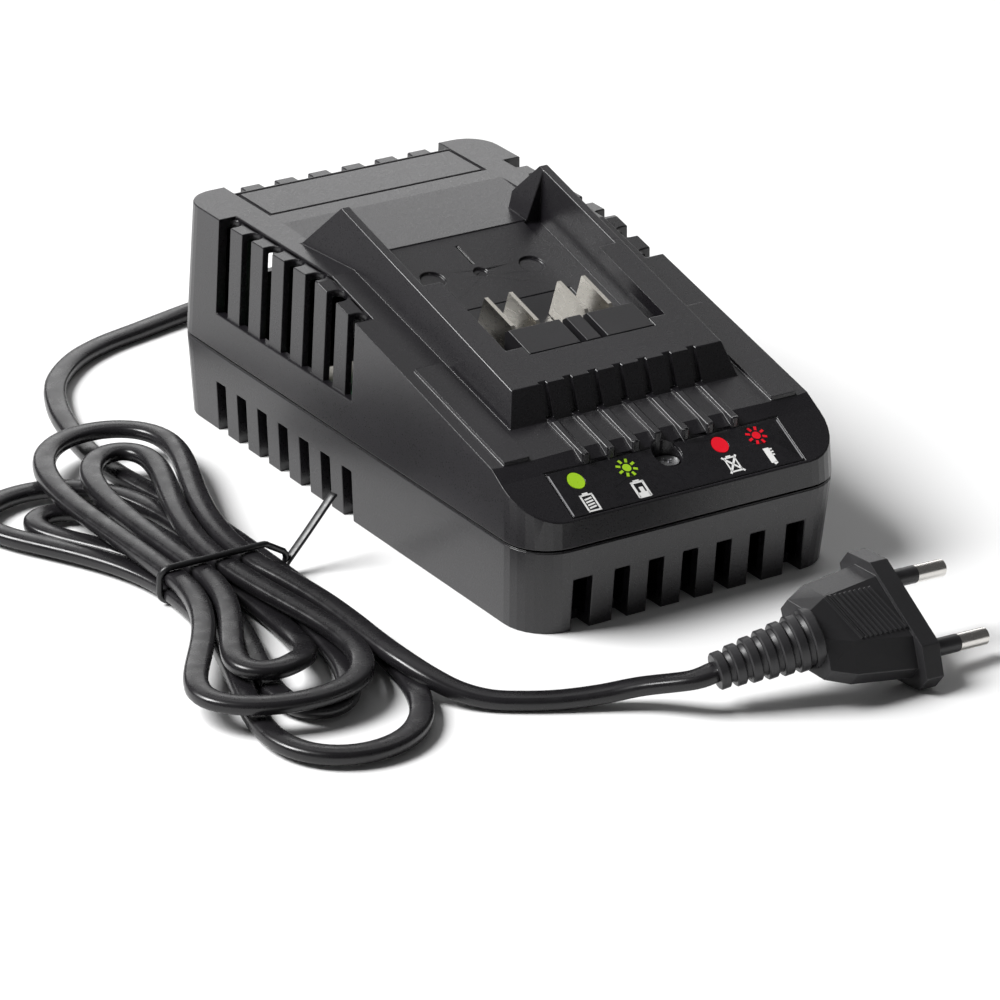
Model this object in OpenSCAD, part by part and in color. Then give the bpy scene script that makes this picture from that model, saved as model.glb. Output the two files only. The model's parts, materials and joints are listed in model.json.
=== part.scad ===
// Mains charger for a slide-on tool battery, with its flat cord and two-pin plug.
// Millimetres. +Z up, front (indicator side) towards -Y, origin under the middle of the base.

/* [Body] */
// Width at the joint between the two shells
body_w = 86; // [80:0.5:100]
// Length at the joint between the two shells
body_l = 153; // [148:0.5:175]
// Height of the joint above the base
joint_z = 20.7; // [19:0.1:24]
// Height of the flat top
top_z = 53.3; // [51:0.1:58]
// Wall thickness of both shells
wall = 2.4; // [1.8:0.1:2.8]
// Radius of the upright corners at the back
corner_back = 8; // [5:0.5:10]
// Radius of the upright corners at the front
corner_front = 10.5; // [8:0.5:12]
// Depth of the shadow line under the joint
seam_d = 0.5; // [0.3:0.1:0.8]

/* [Slopes] */
// Distance of the crease in the top from the middle, towards the back
crease_y = 15; // [12:0.5:20]
// Fall of the shoulders per millimetre of length
shoulder_fall = 0.24; // [0.2:0.01:0.26]
// Length of the indicator panel measured along the body
panel_run = 12.1; // [10:0.1:14]
// Height of the indicator panel's back edge
panel_back_z = 33.1; // [31:0.1:35]
// Height of the indicator panel's front edge
panel_front_z = 26.8; // [25:0.1:28.5]

/* [Battery bay] */
// Height of the guide walls' peak above the flat top
guide_rise = 11.1; // [8:0.1:14]
// Fall of the guide walls per millimetre of length
guide_fall = 0.262; // [0.24:0.002:0.28]
// Distance between the guide walls' outer top edges
guide_w = 56.6; // [55:0.1:60]
// Thickness of a guide wall at its top
guide_t = 2.2; // [1.8:0.1:2.6]
// Lean of the guide walls' outer faces
guide_lean = 20; // [10:1:24]
// Depth of the bay floor below the guide walls' tops
bay_depth = 11.8; // [10:0.1:12.5]
// Width of the bay floor between its two rail grooves
bay_floor_w = 41.6; // [38:0.1:44]
// Depth of the rail grooves
rail_groove_d = 0.8; // [0.4:0.1:1.2]
// Overhang of the rail flanges
flange_w = 4.6; // [3:0.1:5.2]
// Thickness of the rail flanges
flange_t = 3; // [2:0.1:4]
// Length of the rail flanges
flange_l = 27; // [20:0.5:28]
// Length of the stop block at the low end of the bay
stop_l = 20.6; // [18:0.1:24]

/* [Contacts] */
// Distance between the two inner blades
blade_inner = 13.2; // [11:0.1:15]
// Distance from an inner blade to its outer neighbour
blade_step = 6.6; // [5.5:0.1:7.4]
// Thickness of a blade
blade_t = 1; // [0.8:0.1:1.2]
// Height of a blade above the bay floor
blade_h = 10; // [8:0.1:10.6]
// Visible length of a blade
blade_l = 12.6; // [10:0.1:13]
// Width of the contact carrier
carrier_w = 33.6; // [31:0.1:36]

/* [Vents] */
// Number of slots in each upper and lower side row
side_slots = 7; // [5:1:7]
// Pitch of the side slots
side_pitch = 9.34; // [8.6:0.02:9.5]
// Width of a side slot
side_slot_w = 4.1; // [3:0.1:4.6]
// Height of the sill under the upper slots
sill_z = 30; // [28:0.5:34]
// Depth of the shallow frame round the upper slots
frame_d = 0.7; // [0.4:0.1:0.9]
// Reach of the upper slots onto the top
slot_wrap = 4.6; // [3.5:0.1:5.2]
// Height of the lower slots
low_slot_h = 12.6; // [10:0.1:14]
// Pitch of the front slots
front_pitch = 9.11; // [8.6:0.01:9.4]
// Width of a front slot
front_slot_w = 4.1; // [3:0.1:4.6]

/* [Front] */
// Number of ribs on the slope before the panel
rib_count = 7; // [5:1:7]
// Pitch of the ribs and of the notches behind them
rib_pitch = 6.67; // [6:0.01:7.2]
// Width of a rib
rib_w = 1.9; // [1.4:0.1:2.4]
// Height of a rib
rib_h = 1.1; // [0.6:0.1:1.4]
// Width of the indicator panel
panel_w = 62; // [58:0.5:64]
// Thickness of the indicator panel
panel_t = 0.8; // [0.6:0.1:1.2]
// Diameter of an indicator window
lamp_d = 4; // [3.6:0.1:4.8]
// Diameter of the screw well in the panel
well_d = 7; // [6.4:0.1:7.6]

/* [Fasteners] */
// Distance of the housing screws from the middle, across
screw_x = 32; // [30:0.5:33.5]
// Distance of the housing screws from the ends of the body
screw_in = 12.5; // [10.5:0.5:14.5]
// Shank diameter of the housing screws
screw_d = 3; // [2.5:0.1:3.5]
// Head diameter of the housing screws
screw_head_d = 5.6; // [5:0.1:6]

/* [Circuit] */
// Width of the circuit board
board_w = 70; // [60:0.5:74]
// Thickness of the circuit board
board_t = 1.6; // [1.2:0.1:2]
// Height of the circuit board's underside
board_z = 9; // [7:0.5:11]

/* [Cord and plug] */
// Width of the flat cord
cord_w = 5.4; // [5:0.1:5.6]
// Thickness of the flat cord
cord_t = 3.3; // [3:0.1:3.4]
// Distance between the plug pins
pin_gap = 18.6; // [18.2:0.1:19]
// Diameter of the plug pins
pin_d = 4; // [3.8:0.05:4.2]
// Length of the plug pins
pin_l = 19; // [17:0.5:20]
// Width of the plug's face
plug_w = 34.6; // [33:0.1:36]
// Thickness of the plug's face
plug_t = 12.4; // [11.6:0.1:13.6]
// Length of the plug's body
plug_l = 33; // [31:0.5:36]

/* [Hidden] */
$fn = 48;

black = "#1c1c1e";
dark = "#141416";
metal = "#c4c2bc";
steel = "#8d8f92";
copper = "#b4713a";
board_green = "#1f5c3a";
lamp_green = "#9ad83c";
lamp_red = "#e2303c";

fit = 0.15; // clearance round a piece let into another
side_draft = 0.034; // lean of the upper shell's sides
nose_draft = 0.12; // lean of the upper shell's front
tail_draft = 0.03; // lean of the upper shell's back
base_draft = 0.06; // lean of the lower shell's walls
wide = 200; // longer than any cut has to be
sliver = 0.01;

front_y = -body_l / 2;
back_y = body_l / 2;

function upper_w(z) = body_w - 2 * side_draft * (z - joint_z);
function upper_front(z) = front_y + nose_draft * (z - joint_z);
function upper_back(z) = back_y - tail_draft * (z - joint_z);
function lower_w(z) = body_w - 2 * base_draft * (joint_z - z);
function lower_front(z) = front_y + base_draft * (joint_z - z);
function lower_back(z) = back_y - base_draft * (joint_z - z);

panel_front_y = upper_front(panel_front_z);
panel_back_y = panel_front_y + panel_run;
panel_lip = 0.8; // strip of the shell in front of the panel
function panel_z(y) = panel_front_z + (y - panel_front_y) * (panel_back_z - panel_front_z) / panel_run;
function shoulder_z(y) = top_z - shoulder_fall * (crease_y - y);
brow_y = panel_back_y + 4;

// The bay: its floor and the guide walls' tops fall alike towards the front
peak_y = crease_y + 11;
function guide_z(y) = top_z + guide_rise + guide_fall * (y - peak_y);
function floor_z(y) = guide_z(y) - bay_depth;
guide_slope = atan(guide_fall);
bay_end_y = peak_y - 1.7;
pocket_back_y = bay_end_y + 24.2;
pocket_w = guide_w + 4;
mouth_y = peak_y + 6.3;
heel_y = peak_y + 11.75; // lower end of the guide walls' back slope, inside the shell
foot_y = peak_y + 10.8; // outer corners of the flared mouth
mouth_w = bay_floor_w + 2;
stop_back_y = -25.1;
stop_front_y = stop_back_y - stop_l;
stop_foot_y = stop_front_y - 3.4;
side_gap = 7.6; // reach of the rail grooves past the stop block's back
rail_out = guide_w / 2 - guide_t; // inner face of a guide wall
flange_y = stop_back_y - side_gap;

blade_xs = [-blade_inner / 2 - blade_step, -blade_inner / 2, blade_inner / 2, blade_inner / 2 + blade_step];
carrier_front_y = stop_back_y - 10.3;
carrier_back_y = stop_back_y + 23.6;
carrier_rim = 2;

lamp_xs = [-25, -11.6, 13.5, 23.4];
lamp_y = panel_front_y + 9;
well_y = panel_front_y + 10.2;

vent_back_y = back_y - 18.8;
side_rows = [for (i = [0 : side_slots - 1]) vent_back_y - side_pitch * i];
vent_front_y = side_rows[side_slots - 1] - side_slot_w;
back_xs = [for (i = [-3 : 3]) side_pitch * i];
frame_x = (side_pitch * 6 + side_slot_w) / 2;

gland_x = 6;
gland_z = board_z + 3;
gland_hole_w = cord_w + 3.4;
gland_hole_h = cord_t + 3.4;
relief_l = 24;
relief_y = lower_back(gland_z) + 0.25;
relief_end_y = relief_y + relief_l;

// Cord clamp
clamp_w = 22;
clamp_l = 7;
clamp_t = 2.5; // bar over the cord
clamp_y = lower_back(gland_z) - 15.5; // middle of the clamp along the cord
clamp_screw_d = 2.4;
clamp_screw_xs = [gland_x - 7, gland_x + 7];
cord_start_y = clamp_y - 5;

// Screws and their bosses
shank_gap = 0.2; // clearance round a shank that passes through
boss_d = 7.6;
screw_head_h = 2.1;
head_sink = 4; // height of the seats of the housing screws' heads
screw_bite = 9; // reach of the housing screws into the upper shell
well_floor_z = panel_back_z - 5;
screw_xs = [-screw_x, screw_x];
screw_ys = [front_y + screw_in, back_y - screw_in];

// Circuit board
board_top = board_z + board_t;
board_front_y = well_y + boss_d / 2 + 3.8;
board_back_y = cord_start_y - 1.5;
board_l = board_back_y - board_front_y;
board_hole_in = 6; // distance of the board's screws from its ends
board_screw_d = 2;
board_boss_d = 6;
board_screw_xs = [4 - board_w / 2, board_w / 2 - 4];
board_screw_ys = [board_front_y + board_hole_in, board_back_y - board_hole_in];

// Indicator board
lamp_board_z = joint_z + 1;
lamp_board_t = 1.2;
lamp_h = 2.6;
post_x = 18;
post_d = 5;

// Lower shell
seam_h = 0.6; // height of the shadow line under the joint
low_slot_reach = 6; // reach of the lower side slots under the base
front_slot_reach = 5; // reach of the front slots under the base
outer_slot_x = 28.6; // middle of the wider slot at each end of the front
outer_slot_w = 4.9;

// --- Shared shapes -------------------------------------------------------

// Extrudes a side view drawn as [y, z] across the body
module across(w, points) {
    translate([-w / 2, 0, 0]) rotate([90, 0, 90]) linear_extrude(w) polygon(points);
}

// Extrudes a front view drawn as [x, height] along a slope through [0, y, z]
module along_slope(y, z, slope, points) {
    translate([0, y, z]) rotate([slope, 0, 0]) translate([0, wide / 2, 0])
        rotate([90, 0, 0]) linear_extrude(wide) polygon(points);
}

// A thin plate with the body's four upright corners
module corner_plate(w, y0, y1, z, t) {
    for (side = [-1, 1]) {
        translate([side * (w / 2 - corner_front), y0 + corner_front, z])
            cylinder(r = corner_front - t, h = sliver, $fn = 32);
        translate([side * (w / 2 - corner_back), y1 - corner_back, z])
            cylinder(r = corner_back - t, h = sliver, $fn = 32);
    }
}

// The upper shell's outside, drawn in by t
module upper_form(t, z0) {
    z1 = top_z - t;
    intersection() {
        hull() {
            corner_plate(upper_w(z0), upper_front(z0), upper_back(z0), z0, t);
            corner_plate(upper_w(z1), upper_front(z1), upper_back(z1), z1 - sliver, t);
        }
        across(wide, [[-wide, z0 - 1], [wide, z0 - 1], [wide, z1], [crease_y, z1],
            [brow_y, shoulder_z(brow_y) - t], [panel_back_y, panel_back_z - t],
            [panel_front_y, panel_front_z - t], [-wide, panel_front_z - t]]);
    }
}

// The lower shell's outside, drawn in by t, from height z0 up to z1
module lower_form(t, z0, z1) {
    hull() {
        corner_plate(lower_w(z0), lower_front(z0), lower_back(z0), z0, t);
        corner_plate(lower_w(z1), lower_front(z1), lower_back(z1), z1 - sliver, t);
    }
}

module mirror_copy() {
    children();
    mirror([1, 0, 0]) children();
}

// --- Upper housing -------------------------------------------------------

// Guide walls and stop block as one saddle, before the bay is cut
module saddle() {
    drop = 16;
    intersection() {
        along_slope(0, guide_z(0), guide_slope,
            [[-guide_w / 2, 0], [guide_w / 2, 0], [guide_w / 2 + drop * tan(guide_lean), -drop],
             [-guide_w / 2 - drop * tan(guide_lean), -drop]]);
        across(wide, [[stop_foot_y, shoulder_z(stop_foot_y) - wall], [stop_foot_y, shoulder_z(stop_foot_y)],
            [stop_front_y, guide_z(stop_front_y)], [peak_y, guide_z(peak_y)],
            [heel_y, top_z - wall], [crease_y, top_z - wall]]);
    }
}

// Everything above the bay floor that the battery's foot passes through
module bay_void() {
    half = bay_floor_w / 2;
    floor_h = -bay_depth * cos(guide_slope);
    groove_h = -(bay_depth + rail_groove_d) * cos(guide_slope);
    groove_out = rail_out - 0.8;
    intersection() {
        along_slope(0, guide_z(0), guide_slope,
            [[-half, floor_h], [half, floor_h], [half, groove_h], [groove_out, groove_h], [rail_out, 0],
             [rail_out, 20], [-rail_out, 20], [-rail_out, 0], [-groove_out, groove_h], [-half, groove_h]]);
        difference() {
            translate([-wide / 2, flange_y, 0]) cube([wide, bay_end_y - flange_y, wide]);
            // the stop block's middle reaches further back than its sides
            translate([-carrier_w / 2 - fit, flange_y - 1, 0])
                cube([carrier_w + 2 * fit, stop_back_y - flange_y + 1, wide]);
        }
    }
}

// The shallow pocket behind the bay floor, with the flared mouth between the guide walls
module pocket_void() {
    half = pocket_w / 2;
    mouth = mouth_w / 2;
    lip_z = guide_z(bay_end_y);
    intersection() {
        across(wide, [[bay_end_y - sliver, floor_z(bay_end_y)], [pocket_back_y, top_z],
            [pocket_back_y, wide], [bay_end_y - sliver, wide]]);
        union() {
            linear_extrude(wide) polygon([[-half, pocket_back_y + 1], [half, pocket_back_y + 1],
                [half, foot_y], [mouth, mouth_y], [-mouth, mouth_y], [-half, foot_y]]);
            translate([0, heel_y, 0]) rotate([90, 0, 0]) linear_extrude(heel_y - bay_end_y + sliver)
                polygon([[-mouth, 40], [mouth, 40], [mouth, top_z - 1], [rail_out, lip_z], [rail_out, wide],
                    [-rail_out, wide], [-rail_out, lip_z], [-mouth, top_z - 1]]);
        }
    }
}

// Shallow round marks and a short line in the bay floor
module floor_marks() {
    mark_d = 0.6;
    for (mark = [[-12.5, 11.2, 3], [13.4, 9.2, 3], [0, 10.3, 1.7]])
        translate([mark[0], mark[1], floor_z(mark[1])]) rotate([guide_slope, 0, 0]) translate([0, 0, -mark_d])
            cylinder(r = mark[2], h = mark_d + 1, $fn = 32);
    line_y = 13.5;
    translate([0, line_y, floor_z(line_y)]) rotate([guide_slope, 0, 0]) translate([-0.25, 0, -0.3])
        cube([0.5, 7.4, 1]);
}

// The rail flanges that hook over the battery's foot
module rail_flanges() {
    root = guide_w / 2 - 0.5; // reach into the guide wall
    lead_in = 0.5; // past the bay's low end, into the stop block
    tip = rail_out - flange_w;
    mirror_copy() intersection() {
        along_slope(0, guide_z(0), guide_slope, [[tip, -flange_t], [root, -flange_t], [root, 0], [tip, 0]]);
        translate([0, flange_y - lead_in, 0]) cube([wide, flange_l + lead_in, wide]);
    }
}

// The solid under the bay that keeps the shell's hollow away from it
module bay_skin() {
    depth = rail_groove_d + wall;
    across(2 * (rail_out + wall), [[flange_y - wall, floor_z(flange_y - wall) - depth],
        [bay_end_y, floor_z(bay_end_y) - depth], [pocket_back_y, top_z - depth],
        [pocket_back_y + wall, wide], [flange_y - wall, wide]]);
}

module carrier_hole(gap) {
    translate([-carrier_w / 2 - gap, carrier_front_y - gap, 0])
        cube([carrier_w + 2 * gap, carrier_back_y - carrier_front_y + 2 * gap, wide]);
}

// A row of upright slots through a side wall, wrapping onto the top
module upper_slots() {
    r = side_slot_w / 2;
    end_x = upper_w(top_z) / 2 - slot_wrap + r; // middle of a slot's round end
    end_y = upper_back(top_z) - slot_wrap + r;
    mirror_copy() for (y = side_rows) {
        translate([end_x, y - side_slot_w, sill_z]) cube([wide, side_slot_w, wide]);
        translate([end_x, y - r, sill_z]) cylinder(r = r, h = wide, $fn = 24);
    }
    for (x = back_xs) {
        translate([x - r, end_y, sill_z]) cube([side_slot_w, wide, wide]);
        translate([x, end_y, sill_z]) cylinder(r = r, h = wide, $fn = 24);
    }
}

// The shallow frame in which the slots lie
module slot_frames() {
    difference() {
        union() {
            mirror_copy() translate([-wide / 2, vent_front_y, sill_z])
                cube([wide / 2 - upper_w(top_z) / 2 + slot_wrap, vent_back_y - vent_front_y, wide]);
            translate([-frame_x, upper_back(top_z) - slot_wrap, sill_z])
                cube([2 * frame_x, wide, wide]);
        }
        upper_form(frame_d, joint_z);
    }
}

// Ribs on the slope, each with a round end over the panel's back edge
module slope_ribs() {
    y0 = panel_back_y + rib_w / 2;
    y1 = stop_foot_y + 3;
    z0 = panel_back_z - 0.5;
    rib_top = shoulder_z(panel_back_y) + rib_h;
    for (i = [-(rib_count - 1) / 2 : (rib_count - 1) / 2]) translate([i * rib_pitch, 0, 0]) {
        across(rib_w, [[y1, shoulder_z(stop_foot_y) - 1], [y1, shoulder_z(y1) + rib_h], [y0, rib_top],
            [y0, z0]]);
        intersection() {
            translate([0, y0, z0]) cylinder(d = rib_w, h = 6, $fn = 24);
            across(rib_w, [[y0 - rib_w, 0], [y0 + rib_w, 0], [y0 + rib_w, rib_top],
                [y0 - rib_w, rib_top]]);
        }
    }
}

// Notches in the stop block's front, in line with the ribs
module stop_notches() {
    notch_d = 1.4;
    z0 = shoulder_z(stop_foot_y) + 0.6;
    z1 = guide_z(stop_front_y) + 2;
    for (i = [-(rib_count - 1) / 2 : (rib_count - 1) / 2]) translate([i * rib_pitch, 0, 0])
        across(rib_w, [[stop_foot_y - 2, z0], [stop_foot_y + notch_d, z0], [stop_front_y + notch_d, z1],
            [stop_front_y - 5, z1]]);
}

// Thin groove round the bare plate at the back of the top
module plate_groove() {
    outer_w = 60;
    outer_l = 15.6;
    groove = 0.6;
    depth = 0.35;
    translate([-outer_w / 2, pocket_back_y + 6, top_z - depth]) difference() {
        cube([outer_w, outer_l, 1]);
        translate([groove, groove, -1]) cube([outer_w - 2 * groove, outer_l - 2 * groove, 3]);
    }
}

// The strip along each shoulder's inner edge stands a little above the ribbed slope
module shoulder_steps() {
    step = 0.8;
    inner = guide_w / 2 + 4.2;
    intersection() {
        upper_form(-step, joint_z);
        mirror_copy() translate([inner, brow_y, 0])
            cube([upper_w(top_z) / 2 - inner - 2.6, stop_foot_y - brow_y + 26, wide]);
    }
}

// Bosses for the housing screws, and the collar that the panel screw bears on
module upper_bosses() {
    intersection() {
        upper_form(wall / 2, joint_z);
        union() {
            for (x = screw_xs) for (y = screw_ys)
                translate([x, y, joint_z]) cylinder(d = boss_d, h = wide, $fn = 32);
            translate([0, well_y, joint_z]) cylinder(d = well_d + 3, h = wide, $fn = 32);
        }
    }
}

// Hollow under the stop block
module stop_hollow() {
    z0 = shoulder_z(stop_foot_y) - 3 * wall;
    y0 = stop_foot_y + wall;
    y1 = stop_front_y + 1.5 * wall;
    across(2 * rail_out, [[y0, z0], [y0, shoulder_z(stop_foot_y)], [y1, guide_z(stop_front_y) - wall],
        [carrier_front_y, guide_z(carrier_front_y) - wall], [carrier_front_y, z0]]);
}

module panel_recess(gap) {
    y0 = panel_front_y + panel_lip;
    across(panel_w + 2 * gap, [[panel_back_y + gap, panel_z(panel_back_y + gap) - panel_t],
        [panel_back_y + gap, wide], [y0 - gap, wide], [y0 - gap, panel_z(y0 - gap) - panel_t]]);
}

module lamp_holes(gap) {
    for (x = lamp_xs) translate([x, lamp_y, 0]) cylinder(d = lamp_d + 2 * gap, h = wide, $fn = 32);
}

module upper_housing() {
    color(black) {
        difference() {
            union() {
                difference() {
                    union() {
                        upper_form(0, joint_z);
                        shoulder_steps();
                    }
                    difference() {
                        upper_form(wall, joint_z - 1);
                        bay_skin();
                    }
                    upper_slots();
                    slot_frames();
                    plate_groove();
                }
                saddle();
                upper_bosses();
                slope_ribs();
            }
            bay_void();
            pocket_void();
            floor_marks();
            stop_notches();
            carrier_hole(fit);
            stop_hollow();
            panel_recess(fit);
            lamp_holes(fit);
            // screw well, clearance for the shank, and the pilot bores of the four housing screws
            translate([0, well_y, well_floor_z]) cylinder(d = well_d, h = wide, $fn = 32);
            translate([0, well_y, joint_z - 1]) cylinder(d = screw_d + 2 * shank_gap, h = wide, $fn = 32);
            for (x = screw_xs) for (y = screw_ys)
                translate([x, y, joint_z - 1]) cylinder(d = screw_d + 2 * fit, h = screw_bite + 2, $fn = 32);
        }
        rail_flanges();
    }
}

// --- Lower housing -------------------------------------------------------

module side_low_slots() {
    mirror_copy() for (y = side_rows) translate([-wide / 2, y - side_slot_w, -1])
        cube([wide / 2 - lower_w(0) / 2 + low_slot_reach, side_slot_w, low_slot_h + 1]);
}

module front_low_slots() {
    reach = wide + lower_front(0) + front_slot_reach;
    for (i = [-2 : 2]) translate([front_pitch * i - front_slot_w / 2, -wide, -1])
        cube([front_slot_w, reach, low_slot_h + 1]);
    for (x = [-outer_slot_x, outer_slot_x]) translate([x - outer_slot_w / 2, -wide, -1])
        cube([outer_slot_w, reach, low_slot_h + 1]);
}

module gland_hole() {
    translate([gland_x - gland_hole_w / 2, 0, gland_z - gland_hole_h / 2])
        cube([gland_hole_w, wide, gland_hole_h]);
}

module lower_housing() {
    color(black) difference() {
        union() {
            difference() {
                union() {
                    lower_form(0, 0, joint_z - seam_h);
                    lower_form(seam_d, joint_z - seam_h - sliver, joint_z);
                }
                lower_form(wall, wall, joint_z + 1);
            }
            for (x = screw_xs) for (y = screw_ys) translate([x, y, 0]) cylinder(d = boss_d, h = joint_z);
            for (x = board_screw_xs) for (y = board_screw_ys)
                translate([x, y, 0]) cylinder(d = board_boss_d, h = board_z);
            translate([0, well_y, 0]) cylinder(d = boss_d, h = joint_z);
            // posts under the indicator board
            for (x = [-post_x, post_x]) translate([x, lamp_y, 0]) cylinder(d = post_d, h = lamp_board_z);
            // cradle that the cord lies on under its clamp
            translate([gland_x - clamp_w / 2, clamp_y - clamp_l / 2, 0])
                cube([clamp_w, clamp_l, gland_z - cord_t / 2]);
        }
        side_low_slots();
        front_low_slots();
        gland_hole();
        for (x = screw_xs) for (y = screw_ys) translate([x, y, -1]) {
            cylinder(d = screw_d + 2 * shank_gap, h = joint_z + 2);
            cylinder(d = screw_head_d + 3 * shank_gap, h = head_sink + 1);
        }
        for (x = board_screw_xs) for (y = board_screw_ys)
            translate([x, y, wall]) cylinder(d = board_screw_d + 2 * fit, h = board_z, $fn = 24);
        translate([0, well_y, wall]) cylinder(d = screw_d + 2 * fit, h = joint_z);
        for (x = clamp_screw_xs) translate([x, clamp_y, wall])
            cylinder(d = clamp_screw_d + 2 * fit, h = gland_z, $fn = 24);
    }
}

// --- Front ---------------------------------------------------------------

module indicator_panel() {
    y0 = panel_front_y + panel_lip;
    color(dark) difference() {
        across(panel_w, [[panel_back_y, panel_z(panel_back_y) - panel_t],
            [panel_back_y, panel_z(panel_back_y)], [y0, panel_z(y0)], [y0, panel_z(y0) - panel_t]]);
        lamp_holes(fit);
        translate([0, well_y, 0]) cylinder(d = well_d, h = wide, $fn = 32);
    }
}

// Clear rods that carry the light from the lamps up to the panel
module light_pipes(xs, shade) {
    color(shade) for (x = xs) intersection() {
        translate([x, lamp_y, lamp_board_z + lamp_board_t + lamp_h]) cylinder(d = lamp_d, h = wide, $fn = 32);
        across(wide, [[panel_back_y, 0], [panel_back_y, panel_z(panel_back_y)],
            [panel_front_y, panel_z(panel_front_y)], [panel_front_y, 0]]);
    }
}

module indicator_board() {
    lamp_board_w = 55;
    color(board_green) difference() {
        translate([-lamp_board_w / 2, lamp_y - 5, lamp_board_z]) cube([lamp_board_w, 11, lamp_board_t]);
        translate([0, well_y, 0]) cylinder(d = well_d + 4, h = wide, $fn = 32);
    }
}

module indicator_lamps() {
    lamp_w = 3.2;
    color("#e8e6df") for (x = lamp_xs)
        translate([x - lamp_w / 2, lamp_y - lamp_w / 2, lamp_board_z + lamp_board_t])
            cube([lamp_w, lamp_w, lamp_h]);
}

// A screw with a cross recess, its head's seat at z = 0 and its shank upwards
module screw(d, head_d, head_h, l) {
    cross_w = 0.8;
    cross_l = 0.6 * head_d;
    difference() {
        union() {
            translate([0, 0, -head_h]) cylinder(d = head_d, h = head_h, $fn = 32);
            cylinder(d = d, h = l, $fn = 32);
        }
        translate([-cross_l / 2, -cross_w / 2, -head_h - 1]) cube([cross_l, cross_w, 2]);
        translate([-cross_w / 2, -cross_l / 2, -head_h - 1]) cube([cross_w, cross_l, 2]);
    }
}

module panel_screw() {
    color(metal) translate([0, well_y, well_floor_z]) mirror([0, 0, 1])
        screw(screw_d, screw_head_d, screw_head_h, well_floor_z - wall - 4);
}

module housing_screws() {
    color(steel) for (x = screw_xs) for (y = screw_ys) translate([x, y, head_sink])
        screw(screw_d, screw_head_d, screw_head_h, joint_z + screw_bite - head_sink);
}

// --- Contacts ------------------------------------------------------------

rim_t = 1.8;
tail_l = 5; // reach of a blade's tail below the carrier
tail_w = 3;
tail_y = stop_back_y + 3.2;
blade_run = blade_l - 1; // length of the part of a blade that stands in the carrier's slot
key_xs = [-2.2, 3.4];
key_w = 1.8;
key_d = 4.8; // depth of the key slots below the stop block's top

function skin_z(y) = floor_z(y) - rail_groove_d - wall;

module contact_carrier() {
    top_y = stop_back_y - 1.5;
    rim_y = stop_back_y - side_gap;
    rim_end_y = carrier_back_y + carrier_rim;
    color(dark) difference() {
        union() {
            across(carrier_w, [[carrier_front_y, skin_z(carrier_front_y) - rim_t],
                [carrier_front_y, guide_z(carrier_front_y)], [top_y, guide_z(top_y)],
                [stop_back_y, guide_z(stop_back_y) - 1.5], [stop_back_y, floor_z(stop_back_y)],
                [carrier_back_y, floor_z(carrier_back_y)], [carrier_back_y, skin_z(carrier_back_y) - rim_t]]);
            // rim that bears on the underside of the bay floor
            across(carrier_w + 2 * carrier_rim, [[rim_y, skin_z(rim_y) - rim_t], [rim_y, skin_z(rim_y)],
                [rim_end_y, skin_z(rim_end_y)], [rim_end_y, skin_z(rim_end_y) - rim_t]]);
        }
        // key slots in the stop block's middle
        for (x = key_xs) translate([x - key_w / 2, carrier_front_y - 1, guide_z(carrier_front_y) - key_d])
            cube([key_w, stop_back_y - carrier_front_y + 2, wide]);
        for (x = blade_xs) translate([x - blade_t / 2 - fit, tail_y - fit, 0])
            cube([blade_t + 2 * fit, blade_run + 2 * fit, wide]);
    }
}

// One blade with its tail, standing in the carrier's floor
module blade(x) {
    y0 = tail_y;
    y1 = tail_y + blade_run;
    nose_y = y0 - 2;
    heel_back_y = y1 + 1.4;
    tail_z = skin_z(y0) - rim_t;
    color(metal) translate([x, 0, 0]) across(blade_t, [[y0, tail_z - tail_l], [y0 + tail_w, tail_z - tail_l],
        [y0 + tail_w, tail_z], [y1, skin_z(y1) - rim_t + 0.4], [y1, floor_z(y1)],
        [heel_back_y, floor_z(heel_back_y) + 0.3], [y1 - 1.6, floor_z(y1 - 1.6) + blade_h],
        [y0 - 1, floor_z(y0 - 1) + blade_h], [nose_y, floor_z(nose_y) + blade_h - 1],
        [nose_y, floor_z(nose_y) + 0.3], [y0, floor_z(y0) + 0.3]]);
}

// --- Circuit -------------------------------------------------------------

module circuit_board() {
    color(board_green) difference() {
        translate([-board_w / 2, board_front_y, board_z]) cube([board_w, board_l, board_t]);
        for (x = board_screw_xs) for (y = board_screw_ys)
            translate([x, y, 0]) cylinder(d = board_screw_d + 2 * shank_gap, h = wide, $fn = 24);
    }
}

module board_screws() {
    head_d = 4;
    head_h = 1.4;
    bite = 5;
    color(steel) for (x = board_screw_xs) for (y = board_screw_ys)
        translate([x, y, board_top]) mirror([0, 0, 1]) screw(board_screw_d, head_d, head_h, board_t + bite);
}

// Transformer: a core of three limbs, with its winding round the middle one
core_y = 6;
core = [32, 12, 24];
core_limb = 4; // thickness of the outer limbs and of the yokes
core_window = [7, 16]; // width and height of the two windows
winding_w = core[0] - 2 * core_limb - 0.6;
winding_l = 24;

module transformer_core() {
    middle = core[0] - 2 * core_limb - 2 * core_window[0];
    color("#3a3a3c") translate([-core[0] / 2, core_y - core[1] / 2, board_top]) difference() {
        cube(core);
        for (x = [core_limb, core_limb + core_window[0] + middle]) translate([x, -1, core_limb])
            cube([core_window[0], core[1] + 2, core_window[1]]);
    }
}

module transformer_winding() {
    hole = [core[0] - 2 * core_limb - 2 * core_window[0] + 2 * fit, core[1] + 2 * fit];
    color(copper) translate([0, core_y, board_top + core_limb]) difference() {
        translate([-winding_w / 2, -winding_l / 2, 0]) cube([winding_w, winding_l, core_window[1]]);
        translate([-hole[0] / 2, -hole[1] / 2, -1]) cube([hole[0], hole[1], core_window[1] + 2]);
    }
}

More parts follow.
